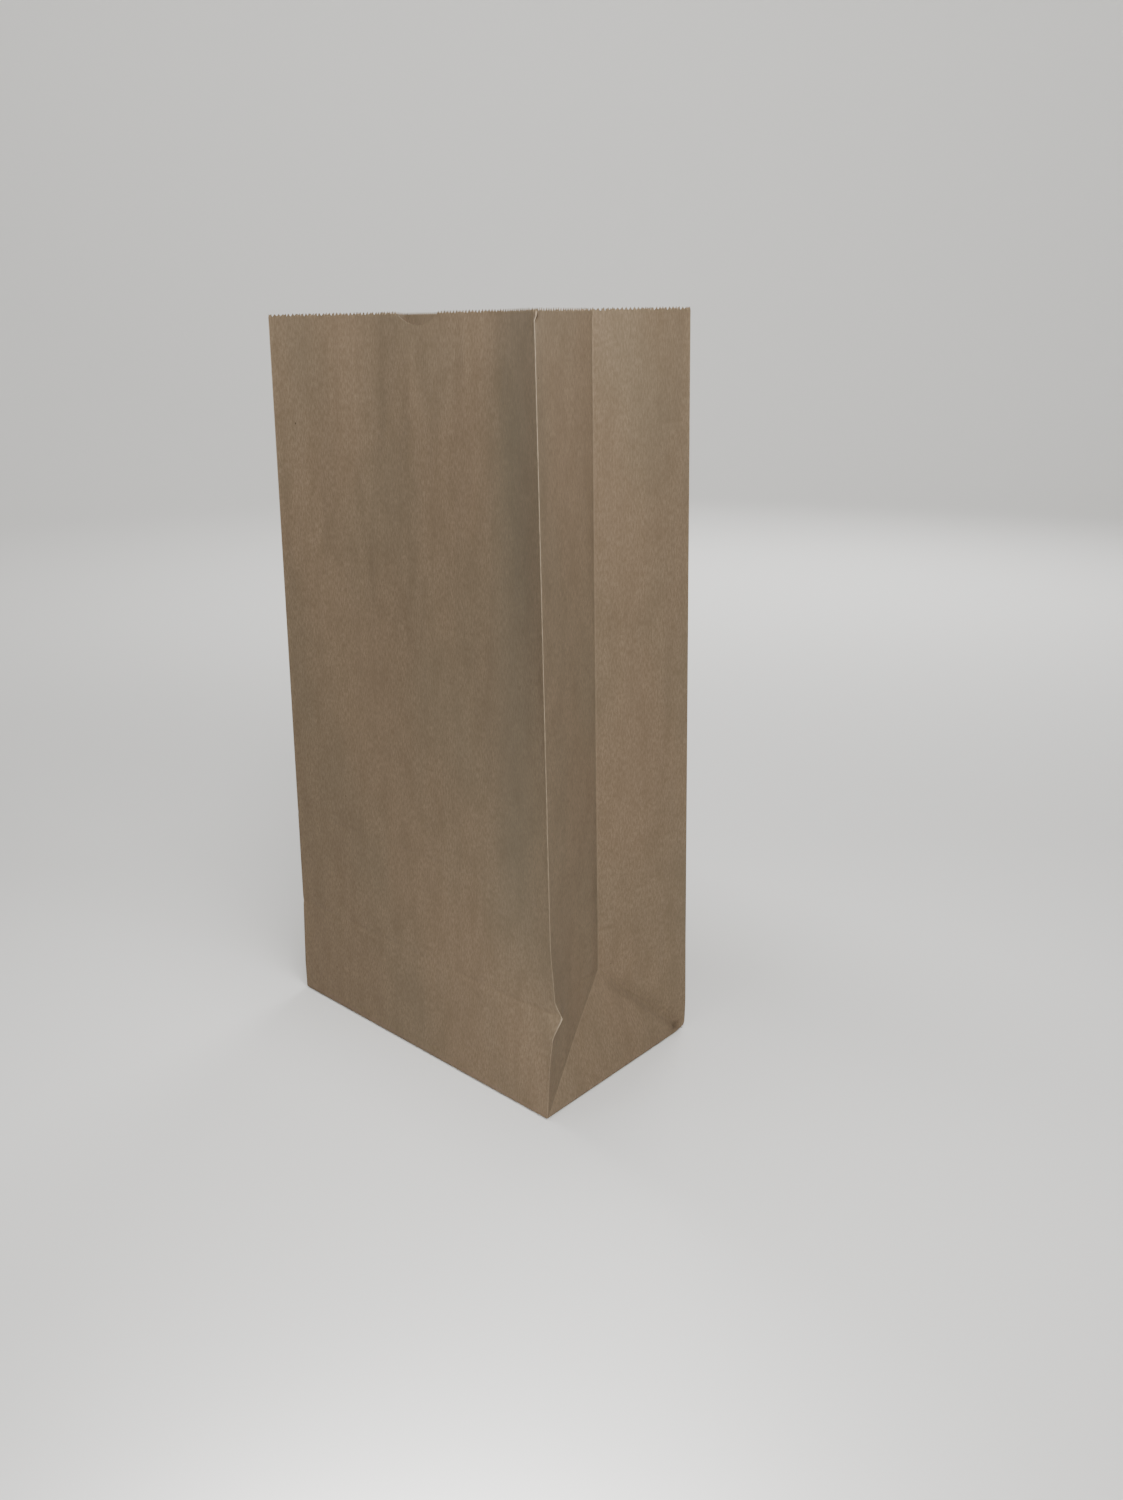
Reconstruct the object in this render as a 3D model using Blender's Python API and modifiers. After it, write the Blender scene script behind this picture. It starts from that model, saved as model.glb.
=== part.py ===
"""Brown paper lunch bag, standing open.

One sheet of kraft paper is lapped into a tube, folded into a front panel, a back panel and two
gussets, and its lower end is folded under into a flat rectangular base.  The wall is one loft over
two paper coordinates: the distance along the rim, and the height above the base fold.

Frame: origin on the floor under the middle of the base, +X to the right along the front panel,
+Y from the front panel to the back one, +Z up.  Metres.
"""
import math

import bmesh
import bpy

# ---- driving dimensions ----
WIDTH = 0.140               # front panel between its two fold edges
DEPTH = 0.080               # a gusset laid flat, and the short side of the base
HEIGHT = 0.270              # floor to the tips of the rim's teeth
PAPER = 0.00012             # thickness of the kraft paper

HALF_GUSSET = DEPTH / 2     # each gusset folds in at its middle
CREASE = DEPTH / 2          # height of the base crease, where the bag folds flat for packing

# How far each corner fold stands in from the base corner below it: (across, along the depth).
INSET_AT_CREASE = {
    "front_left": (0.0, 0.0026),
    "front_right": (0.0, 0.0036),
    "back_right": (0.0004, 0.0004),
    "back_left": (0.0, 0.0004),
}
INSET_AT_RIM = {
    "front_left": (0.0050, 0.0075),
    "front_right": (0.0002, 0.0024),
    "back_right": (0.0034, 0.0005),
    "back_left": (0.0004, 0.0036),
}
CORNER_SIDE = {
    "front_left": (-1, -1),
    "front_right": (1, -1),
    "back_right": (1, 1),
    "back_left": (-1, 1),
}
FRONT_BOW = 0.0115          # how far the front rim curves into the bag
FRONT_RUNS = (0.42, 0.26)   # shares of the panel that bend in, from its first and its last fold
BACK_BOW = 0.0090           # the same two at the back rim
BACK_RUNS = (0.45, 0.45)
BOW_RISE = 0.8              # power of the curve's growth from the base crease to the rim
CREASE_DIP = 0.0020         # the gusset crease starts this much below the base crease

# The rim is cut by a toothed knife, with a thumb notch in the front panel.
TOOTH_PITCH = 0.0016
TOOTH_DEPTH = 0.0008
TOOTH_LEAN = 0.35           # where the tip stands in its pitch, 0.5 being upright
NOTCH_WIDTH = 0.020
NOTCH_DEPTH = 0.0033
NOTCH_MIDDLE = 0.0720       # its middle, from the front panel's left fold
NOTCH_STEPS = 8             # straight runs in each half of the notch

# The lap seam runs up the middle of the back panel.
SEAM_WIDTH = 0.012
SEAM_STEP = 0.0003          # run of the step at the outer sheet's cut edge
SEAM_RAMP = 0.0020          # run over which the outer sheet settles beside the lap

# The base is closed by two flaps whose ends are mitred, over the gussets' end triangles.
FLAP_OVERLAP = 0.010        # how far the outer flap passes the middle
FLAP_SETBACK = 0.0002       # the flaps' folded edges stand in from the wall by this
BASE_LEVEL = 2 * PAPER      # the bag's own floor lies on two layers of flap

KRAFT_COLOUR = (0.223, 0.171, 0.119, 1.0)   # dull kraft brown, linear
KRAFT_ROUGHNESS = 0.9

# ---- paper grid ----
GRID = 0.008                # cell of the gussets and of the base corners, so mitres cross cells
GUSSET_CELLS = 10
MIDDLE_CELLS = 6            # cells of the panels' middle stretch
ROWS_ABOVE_CREASE = 12
TOOTH_STRIP = 0.006         # height of the strip that carries the teeth


def lerp(a, b, k):
    """Point a fraction k of the way from a to b."""
    return tuple(p + (q - p) * k for p, q in zip(a, b))


def along_height(t):
    """0 at the base crease and 1 at the rim."""
    return max(0.0, (t - CREASE) / (HEIGHT - CREASE))


def corner(name, t):
    """A corner fold at height t: straight from the floor to the crease, and from there to the rim."""
    side_x, side_y = CORNER_SIDE[name]
    at_crease = INSET_AT_CREASE[name]
    if t < CREASE:
        inset = lerp((0.0, 0.0), at_crease, t / CREASE)
    else:
        inset = lerp(at_crease, INSET_AT_RIM[name], along_height(t))
    z = BASE_LEVEL + t * (1 - BASE_LEVEL / HEIGHT)
    return (side_x * (WIDTH / 2 - inset[0]), side_y * (DEPTH / 2 - inset[1]), z)


def gusset_crease(first, last, t):
    """The gusset's middle crease: the tip of two half gussets that stand on the two corner folds."""
    a = corner(first, t)
    b = corner(last, t)
    across = (b[0] - a[0], b[1] - a[1])
    span = math.hypot(*across)
    tuck = math.sqrt(HALF_GUSSET ** 2 - (span / 2) ** 2)
    inward = (-across[1] / span, across[0] / span)
    dip = CREASE_DIP * (1 - along_height(t))
    return (
        (a[0] + b[0]) / 2 + inward[0] * tuck,
        (a[1] + b[1]) / 2 + inward[1] * tuck,
        a[2] - dip,
    )


def gusset_point(first, last, u, t):
    """A point of a gusset, u along it from its first corner fold.

    Above the crease a row is two straight half gussets.  Below it the paper is three flat
    triangles: the base triangle, whose tip is the foot of the middle crease, and a flap each side.
    """
    if t >= CREASE:
        tip = gusset_crease(first, last, t)
        if u <= HALF_GUSSET:
            return lerp(corner(first, t), tip, u / HALF_GUSSET)
        return lerp(tip, corner(last, t), u / HALF_GUSSET - 1)
    tip = gusset_crease(first, last, CREASE)
    foot_first = corner(first, 0)
    foot_last = corner(last, 0)
    if u < t:
        on_fold = lerp(foot_first, corner(first, CREASE), t / CREASE)
        on_mitre = lerp(foot_first, tip, t / CREASE)
        return lerp(on_fold, on_mitre, u / t)
    if u > DEPTH - t:
        on_fold = lerp(foot_last, corner(last, CREASE), t / CREASE)
        on_mitre = lerp(foot_last, tip, t / CREASE)
        return lerp(on_fold, on_mitre, (DEPTH - u) / t)
    left = lerp(foot_first, tip, t / CREASE)
    right = lerp(foot_last, tip, t / CREASE)
    return lerp(left, right, (u - t) / (DEPTH - 2 * t))


def lap(u):
    """Height of the lap seam's outer face over the panel: a step, a flat, and a long ramp."""
    start = (WIDTH - SEAM_WIDTH) / 2
    end = start + SEAM_WIDTH
    if u <= start - SEAM_STEP or u >= end + SEAM_RAMP:
        return 0.0
    if u < start:
        return PAPER * (u - start + SEAM_STEP) / SEAM_STEP
    if u > end:
        return PAPER * (1 - (u - end) / SEAM_RAMP)
    return PAPER


def ease(x):
    """A quarter sine: steep at 0, level from 1 on."""
    return math.sin(math.pi / 2 * min(1.0, x))


def panel_point(first, last, u, t, bow, runs, bulge=0.0):
    """A point of a panel: a straight row that bends into the bag, more so as the rim is neared."""
    x, y, z = lerp(corner(first, t), corner(last, t), u / WIDTH)
    inward = 1 if first == "front_left" else -1
    rise = along_height(t) ** BOW_RISE
    arch = ease(u / WIDTH / runs[0]) * ease((1 - u / WIDTH) / runs[1])
    return (x, y + inward * (bow * rise * arch - bulge), z)


def front_point(u, t):
    return panel_point("front_left", "front_right", u, t, FRONT_BOW, FRONT_RUNS)


def right_gusset_point(u, t):
    return gusset_point("front_right", "back_right", u, t)


def back_point(u, t):
    return panel_point("back_right", "back_left", u, t, BACK_BOW, BACK_RUNS, lap(u))


def left_gusset_point(u, t):
    return gusset_point("back_left", "front_left", u, t)


def even(start, end, count):
    """count + 1 evenly spaced values from start to end."""
    return [start + (end - start) * i / count for i in range(count + 1)]


def panel_columns():
    """Grid lines of a panel: square cells over the mitred corners, longer ones between."""
    return (
        even(0, HALF_GUSSET, 5)
        + even(HALF_GUSSET, WIDTH - HALF_GUSSET, MIDDLE_CELLS)[1:]
        + even(WIDTH - HALF_GUSSET, WIDTH, 5)[1:]
    )


def front_columns():
    """The panel's grid lines, with the middle ones moved onto the notch's two ends and its middle."""
    start = NOTCH_MIDDLE - NOTCH_WIDTH / 2
    end = NOTCH_MIDDLE + NOTCH_WIDTH / 2
    clear = [u for u in panel_columns() if u < start - GRID / 2 or u > end + GRID / 2]
    return sorted(clear + [start, NOTCH_MIDDLE, end])


def back_columns():
    """The panel's grid lines, with those next to the seam moved onto the seam's own edges."""
    start = (WIDTH - SEAM_WIDTH) / 2
    end = start + SEAM_WIDTH
    seam = [start - SEAM_STEP, start, end, end + SEAM_RAMP]
    clear = [u for u in panel_columns() if u < start - GRID / 2 or u > end + GRID / 2]
    return sorted(clear + seam)


def wall_columns():
    """Every column round the bag, as (panel function, distance along that panel)."""
    gusset = even(0, DEPTH, GUSSET_CELLS)
    runs = (
        (front_point, front_columns()),
        (right_gusset_point, gusset),
        (back_point, back_columns()),
        (left_gusset_point, gusset),
    )
    return [(place, u) for place, columns in runs for u in columns[:-1]], runs


def rim_height(place, u):
    """Height of the rim without its teeth: the tooth roots, or the notch's shallow parabola."""
    off = abs(u - NOTCH_MIDDLE) / (NOTCH_WIDTH / 2)
    if place is front_point and off < 1:
        return HEIGHT - TOOTH_DEPTH - NOTCH_DEPTH * (1 - off ** 2)
    return HEIGHT - TOOTH_DEPTH


def rim_outline(place, start, end):
    """Rim points strictly inside one cell, as (distance, height): knife teeth, or the notch's arc."""
    middle = (start + end) / 2
    if place is front_point and abs(middle - NOTCH_MIDDLE) < NOTCH_WIDTH / 2:
        return [(u, rim_height(place, u)) for u in even(start, end, NOTCH_STEPS)[1:-1]]
    teeth = max(1, round((end - start) / TOOTH_PITCH))
    pitch = (end - start) / teeth
    points = []
    for i in range(teeth):
        if i:
            points.append((start + i * pitch, HEIGHT - TOOTH_DEPTH))
        points.append((start + (i + TOOTH_LEAN) * pitch, HEIGHT))
    return points


def mitre_split(place, u, row):
    """Which way a cell below the base crease is cut by a mitre: 'up', 'down' or None."""
    if place not in (right_gusset_point, left_gusset_point) or row >= 5:
        return None
    cell = round(u / GRID)
    if cell == row:
        return "up"
    if cell == GUSSET_CELLS - 1 - row:
        return "down"
    return None


def paper_skin():
    """The sheet's outer face: wall cells, toothed rim cells and the floor, as one open mesh."""
    columns, runs = wall_columns()
    heights = even(0, CREASE, 5) + even(CREASE, HEIGHT - TOOTH_STRIP, ROWS_ABOVE_CREASE)[1:]
    mesh = bmesh.new()
    grid = [[mesh.verts.new(place(u, t)) for place, u in columns] for t in heights]
    rim = [mesh.verts.new(place(u, rim_height(place, u))) for place, u in columns]
    count = len(columns)

    for row in range(len(heights) - 1):
        for i, (place, u) in enumerate(columns):
            j = (i + 1) % count
            low_a, low_b = grid[row][i], grid[row][j]
            top_a, top_b = grid[row + 1][i], grid[row + 1][j]
            split = mitre_split(place, u, row)
            if split == "up":
                mesh.faces.new((low_a, low_b, top_b))
                mesh.faces.new((low_a, top_b, top_a))
            elif split == "down":
                mesh.faces.new((low_a, low_b, top_a))
                mesh.faces.new((low_b, top_b, top_a))
            else:
                mesh.faces.new((low_a, low_b, top_b, top_a))

    i = 0
    for place, lines in runs:
        for start, end in zip(lines, lines[1:]):
            j = (i + 1) % count
            edge = [mesh.verts.new(place(u, t)) for u, t in rim_outline(place, start, end)]
            mesh.faces.new((grid[-1][i], grid[-1][j], rim[j], *reversed(edge), rim[i]))
            i += 1

    mesh.faces.new(tuple(reversed(grid[0])))
    return mesh


def kraft_material():
    material = bpy.data.materials.new("kraft_paper")
    material.use_nodes = True
    shader = material.node_tree.nodes["Principled BSDF"]
    shader.inputs["Base Color"].default_value = KRAFT_COLOUR
    shader.inputs["Roughness"].default_value = KRAFT_ROUGHNESS
    shader.inputs["Metallic"].default_value = 0.0
    return material


def add_object(name, mesh, collection):
    data = bpy.data.meshes.new(name)
    mesh.to_mesh(data)
    mesh.free()
    item = bpy.data.objects.new(name, data)
    collection.objects.link(item)
    return item


def add_thickness(item, thickness):
    """Give an open surface its thickness, on the side away from its normals."""
    solid = item.modifiers.new("paper thickness", "SOLIDIFY")
    solid.thickness = thickness
    solid.offset = -1.0
    solid.use_even_offset = True
    return solid


def base_flap(name, side, reach, level, collection):
    """A base flap: its fold on one long side, its ends mitred at 45 degrees, its edge past the middle.

    It is a flat outline facing down, thickened upwards until it is half way into the bag's floor.
    """
    mesh = bmesh.new()
    outer = DEPTH / 2 - FLAP_SETBACK
    half = WIDTH / 2 - FLAP_SETBACK
    neck = WIDTH / 2 - DEPTH / 2
    outline = [
        (-half, outer),
        (half, outer),
        (neck, 0.0),
        (neck, -reach),
        (-neck, -reach),
        (-neck, 0.0),
    ]
    verts = [mesh.verts.new((x, side * y, level)) for x, y in outline]
    face = mesh.faces.new(verts)
    face.normal_update()
    if face.normal.z > 0:
        face.normal_flip()
    flap = add_object(name, mesh, collection)
    add_thickness(flap, BASE_LEVEL + PAPER / 2 - level)
    flap.hide_render = True
    flap.display_type = "WIRE"
    return flap


def join_to(item, other):
    union = item.modifiers.new("join " + other.name, "BOOLEAN")
    union.operation = "UNION"
    union.solver = "EXACT"
    union.object = other


def main():
    for item in list(bpy.data.objects):
        bpy.data.objects.remove(item)

    bag_collection = bpy.data.collections.new("paper_lunch_bag")
    flap_collection = bpy.data.collections.new("base_flaps")
    bpy.context.scene.collection.children.link(bag_collection)
    bpy.context.scene.collection.children.link(flap_collection)

    bag = add_object("paper_bag", paper_skin(), bag_collection)
    bag.data.materials.append(kraft_material())
    add_thickness(bag, PAPER)
    join_to(bag, base_flap("inner_flap", -1, FLAP_OVERLAP, PAPER, flap_collection))
    join_to(bag, base_flap("outer_flap", 1, FLAP_OVERLAP, 0.0, flap_collection))


main()
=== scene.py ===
"""Brown kraft paper lunch bag, standing open on a pale floor.

The bag is one sheet.  Two paper coordinates run over it: s, the distance round the bag from the
front panel's left fold, and t, the height above the base fold.  Every shape below is a function
of s and t, worked out for whole arrays at once.  Metres, +Z up, front panel towards -Y.
"""
import math

import bpy
import numpy as np
from mathutils import Matrix, Vector


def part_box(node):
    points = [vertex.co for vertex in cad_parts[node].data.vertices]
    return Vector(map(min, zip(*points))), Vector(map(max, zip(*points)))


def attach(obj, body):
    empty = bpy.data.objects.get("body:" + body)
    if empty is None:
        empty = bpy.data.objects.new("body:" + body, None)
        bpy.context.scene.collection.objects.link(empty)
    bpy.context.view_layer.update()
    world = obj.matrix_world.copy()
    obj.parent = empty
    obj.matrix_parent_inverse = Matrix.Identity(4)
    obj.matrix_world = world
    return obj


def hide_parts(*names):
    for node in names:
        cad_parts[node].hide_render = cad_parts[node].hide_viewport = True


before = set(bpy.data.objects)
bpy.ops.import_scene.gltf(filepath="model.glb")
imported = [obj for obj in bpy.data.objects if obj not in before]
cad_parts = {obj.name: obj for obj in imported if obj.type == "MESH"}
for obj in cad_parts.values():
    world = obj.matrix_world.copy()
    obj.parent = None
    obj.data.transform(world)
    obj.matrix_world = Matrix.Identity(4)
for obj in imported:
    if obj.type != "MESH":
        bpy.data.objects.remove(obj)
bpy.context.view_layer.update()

MM = 0.001

# ---- the bag's own sizes, read from the frame ----
LOW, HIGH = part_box("paper_bag")
WIDTH = HIGH.x - LOW.x                  # front panel between its fold edges
DEPTH = -2 * LOW.y                      # a gusset laid flat
HEIGHT = HIGH.z                         # floor to the tips of the rim's teeth
HALF_GUSSET = DEPTH / 2
CREASE = DEPTH / 2                      # height of the base crease
IMPRINT = DEPTH                         # height of the mark that the folded base pressed in
ROUND = 2 * (WIDTH + DEPTH)             # once round the bag
PAPER = 0.14 * MM                       # kraft paper with its nap
FLOOR_LEVEL = 0.32 * MM                 # the bag's own floor lies on two glued flaps

# Corner folds: which side each stands on, and how far it leans in, across and along the depth.
CORNER_SIDE = {
    "front_left": (-1, -1),
    "front_right": (1, -1),
    "back_right": (1, 1),
    "back_left": (-1, 1),
}
INSET_AT_CREASE = {
    "front_left": (0.0, 2.6 * MM),
    "front_right": (0.0, 3.6 * MM),
    "back_right": (0.4 * MM, 0.4 * MM),
    "back_left": (0.0, 0.4 * MM),
}
INSET_AT_RIM = {
    "front_left": (5.0 * MM, 7.5 * MM),
    "front_right": (0.2 * MM, 2.4 * MM),
    "back_right": (3.4 * MM, 0.5 * MM),
    "back_left": (0.4 * MM, 3.6 * MM),
}
CREASE_DIP = 2.0 * MM                   # the gusset crease starts this much below the base crease
TIP_DRAW = 0.8 * MM                     # a gusset's rear half is curved, which draws the crease back
FRONT_BOW = 11.5 * MM                   # how far each rim curves into the bag
BACK_BOW = 9.0 * MM
FRONT_RUNS = (0.42, 0.26)               # shares of the panel that bend in from each fold
BACK_RUNS = (0.45, 0.45)
BOW_RISE = 0.8                          # power of the height by which a bow or bend grows
BEND_RISE = 0.6
RIGHT_BENDS = (-0.4 * MM, 2.8 * MM)     # how far the right gusset's near and far halves bend out
LEFT_BENDS = (0.8 * MM, 1.2 * MM)       # and the left gusset's
RIPPLE = 0.2 * MM                       # ripple of the rims on top of their bow
RIPPLE_LENGTH = 38 * MM
RIPPLE_CREST = 44 * MM                  # where one crest is, from the panel's first fold

# Folds
FOLD_RADIUS = 0.42 * MM                 # a pressed fold is a tight curl, not a knife edge
FOLD_LIP = 0.45 * MM                    # pressed folds stand out as a small fin
FOLD_LIP_REACH = 2.4 * MM
EDGE_RADIUS = 0.7 * MM                  # curl of the paper round the base's edges
FOLD_WEAR_AND_HIGHLIGHT_FADE = 0.42 * MM              # the pale line of worn fibres and painted highlight on the upright folds fades by this much at the floor
CREASE_GROOVE = 0.16 * MM
CREASE_WIDTH = 1.1 * MM
IMPRINT_DEPTH = 0.10 * MM
IMPRINT_WIDTH = 0.9 * MM

# Marks of use, all on the right gusset and beside it
HOLLOW_MIDDLE = 62 * MM                 # the near half is pushed in above the base crease
HOLLOW_REACH = 36 * MM
HOLLOW_DEPTH = 0.9 * MM
MITRE_DEPTH = 1.05 * MM                 # valley along the rear mitre
MITRE_REACH = 3.8 * MM
RIDGE_HEIGHT = 0.60 * MM                # faint ridge down the base triangle from its apex
RIDGE_REACH = 3.2 * MM
RIDGE_LEAN = 0.35
GROOVE_DEPTH = 0.60 * MM                # groove from the apex towards the near fold
GROOVE_REACH = 1.8 * MM
GROOVE_LEAN = 0.24
PRESS_DEPTH = 0.30 * MM                 # groove pressed beside the right front fold, at the rim
PRESS_REACH = 0.8 * MM
PRESS_OFF_FOLD = 1.9 * MM
PINCH_LEVEL = CREASE - 1.5 * MM         # the fold is pinched where the base crease meets it
PINCH_REACH = 6.5 * MM
PINCH_SHIFT = np.array([1.0, 2.9, -0.4]) * MM
DRAWN_SHIFT = np.array([0.2, 1.3, 0.0]) * MM        # the pinch draws the paper about it along
CRUSHED_SHIFT = np.array([0.3, 1.5, 0.0]) * MM      # the fold's crushed top corner
UNDER_SHIFT = np.array([-0.9, 0.2, 0.0]) * MM       # the paper just under that corner
DENT_SHIFT = np.array([-2.2, 0.0, 0.0]) * MM        # beside the base's back right corner
DENT_LEVEL = 2.3 * MM
DENT_OFF_FOLD = 4.2 * MM
LIFTED_SHIFT = np.array([-0.5, -0.4, 0.5]) * MM     # the base's back right corner
GREY_MIDDLE = 122 * MM                  # a greyed band on the front panel, and half its width
GREY_REACH = 24 * MM

# Rim
TEETH = 280
TOOTH_DEPTH = 1.2 * MM
TOOTH_LEAN = 0.70                       # where a tip stands in its pitch, 0.5 being upright
TOOTH_CURL = 0.10 * MM                  # how far tips are bent in or out
NOTCH_WIDTH = 20 * MM
NOTCH_DEPTH = 3.3 * MM
NOTCH_MIDDLE = WIDTH / 2 + 2.0 * MM     # the knife is a little off the panel's middle
RIM_STRIP = 1.3 * MM                    # paper between the last grid row and the tooth roots

# Seam on the back panel
SEAM_WIDTH = 12 * MM
SEAM_STEP = 0.3 * MM
SEAM_RAMP = 2.0 * MM

# Grid: lines crowd towards each fold, and the base zone's rows stand where the gusset's columns
# stand, so that the mitre creases run through grid points.
FOLD_LINES = np.array([0.0, 0.22, 0.5, 0.85, 1.3, 1.9, 2.7]) * MM
CELL = 2.0 * MM
TALL_CELL = 3.0 * MM
FLOOR_RINGS = np.array([0.97, 0.8, 0.6, 0.4, 0.2, 0.06, 0.02])


# ------------------------------------------------------------------ the folded sheet's form

def corner(name, t):
    """A corner fold: straight from the floor to the crease, straight again up to the rim."""
    side_x, side_y = CORNER_SIDE[name]
    stops = (0.0, CREASE, HEIGHT)
    crease, rim = INSET_AT_CREASE[name], INSET_AT_RIM[name]
    x = side_x * (WIDTH / 2 - np.interp(t, stops, (0.0, crease[0], rim[0])))
    y = side_y * (DEPTH / 2 - np.interp(t, stops, (0.0, crease[1], rim[1])))
    z = FLOOR_LEVEL + t * (1 - FLOOR_LEVEL / HEIGHT)
    return np.stack([x, y, z], axis=-1)


def above_crease(t):
    """0 up to the base crease, growing evenly to 1 at the rim."""
    return np.clip((t - CREASE) / (HEIGHT - CREASE), 0, 1)


def gusset_tip(first, last, t):
    """The gusset's middle crease: the tip of two half gussets hung on the two corner folds."""
    a, b = corner(first, t), corner(last, t)
    across = (b - a)[..., :2]
    span = np.linalg.norm(across, axis=-1)
    tuck = np.sqrt(HALF_GUSSET ** 2 - (span / 2) ** 2) / span
    tip = (a + b) / 2
    tip[..., 0] -= across[..., 1] * tuck
    tip[..., 1] += across[..., 0] * tuck
    tip[..., 1] += TIP_DRAW
    tip[..., 2] -= CREASE_DIP * (1 - above_crease(t))
    return tip


def gusset(first, last, u, t):
    """A gusset point, u along it.  Above the crease a row is two straight halves.  Below it, the
    paper is three flat triangles, each a weighted mean of its corners: the base triangle, and a
    flap on each side between the mitre and the corner fold."""
    high = np.maximum(t, CREASE)
    a, b, tip = corner(first, high), corner(last, high), gusset_tip(first, last, high)
    k = np.clip(u / HALF_GUSSET, 0, 2)[..., None]
    upper = np.where(k <= 1, a + (tip - a) * k, tip + (b - tip) * (k - 1))
    zero = np.zeros_like(t)
    foot_a, foot_b = corner(first, zero), corner(last, zero)
    rise = (np.clip(t, 0, CREASE) / CREASE)[..., None]
    part = (u / CREASE)[..., None]
    far = 2 - part
    on_a = foot_a * (1 - rise) + a * (rise - part) + tip * part
    on_b = foot_b * (1 - rise) + b * (rise - far) + tip * far
    base = foot_a * (1 - rise / 2 - part / 2) + foot_b * (part / 2 - rise / 2) + tip * rise
    lower = np.where(part < rise, on_a, np.where(far < rise, on_b, base))
    return np.where((t > CREASE)[..., None], upper, lower)


def ease(x):
    """A quarter sine: 0 up to 0, steep there, and level at 1 from 1 on."""
    return np.sin(math.pi / 2 * np.clip(x, 0, 1))


def panel(first, last, u, t, bow, runs):
    """A panel point: a straight row, bent into the bag by a quarter sine from each fold, which
    grows with height, with a cosine ripple on top."""
    k = u / WIDTH
    point = corner(first, t) + (corner(last, t) - corner(first, t)) * k[..., None]
    inward = -CORNER_SIDE[first][1]
    rise = above_crease(t)
    arch = bow * ease(k / runs[0]) * ease((1 - k) / runs[1]) * rise ** BOW_RISE
    ends = np.sqrt(np.sin(math.pi * np.clip(k, 0, 1)))
    wave = RIPPLE * np.cos(2 * math.pi * (u - RIPPLE_CREST) / RIPPLE_LENGTH) * ends * rise
    point[..., 1] += inward * (arch + wave)
    return point


def folded(s, t):
    """The sheet folded with sharp creases: front panel, right gusset, back panel, left gusset."""
    s = np.mod(s, ROUND)
    starts = (0.0, WIDTH, WIDTH + DEPTH, 2 * WIDTH + DEPTH)
    runs = (
        panel("front_left", "front_right", s - starts[0], t, FRONT_BOW, FRONT_RUNS),
        gusset("front_right", "back_right", s - starts[1], t),
        panel("back_right", "back_left", s - starts[2], t, BACK_BOW, BACK_RUNS),
        gusset("back_left", "front_left", s - starts[3], t),
    )
    point = runs[0]
    for start, run in zip(starts[1:], runs[1:]):
        point = np.where((s >= start)[..., None], run, point)
    return point


CORNER_FOLDS = (0.0, WIDTH, WIDTH + DEPTH, 2 * WIDTH + DEPTH)
TUCK_FOLDS = (WIDTH + HALF_GUSSET, 2 * WIDTH + DEPTH + HALF_GUSSET)


def off_fold(s, folds):
    """Distance along the paper from the nearest of some upright folds."""
    gaps = [np.abs(np.mod(s - fold + ROUND / 2, ROUND) - ROUND / 2) for fold in folds]
    return np.min(gaps, axis=0)


def rounded(s, t):
    """The folded sheet with its upright folds curled: near a fold each point is the mean of itself
    and two neighbours, whose spread shrinks to nothing a few radii away."""
    spread = FOLD_RADIUS * np.clip(1 - off_fold(s, CORNER_FOLDS + TUCK_FOLDS) / (3 * FOLD_RADIUS), 0, 1)
    sides = folded(s - 1.6 * spread, t) + folded(s + 1.6 * spread, t)
    return (sides + 2 * folded(s, t)) / 4


def bump(x, half_width):
    """A soft bell of height 1 that reaches 0 at half_width, cosine shaped."""
    return np.where(np.abs(x) < half_width, 0.5 + 0.5 * np.cos(math.pi * x / half_width), 0.0)


def tent(x, half_width):
    """A straight-sided peak of height 1 that reaches 0 at half_width."""
    return np.clip(1 - np.abs(x) / half_width, 0, 1)


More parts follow.
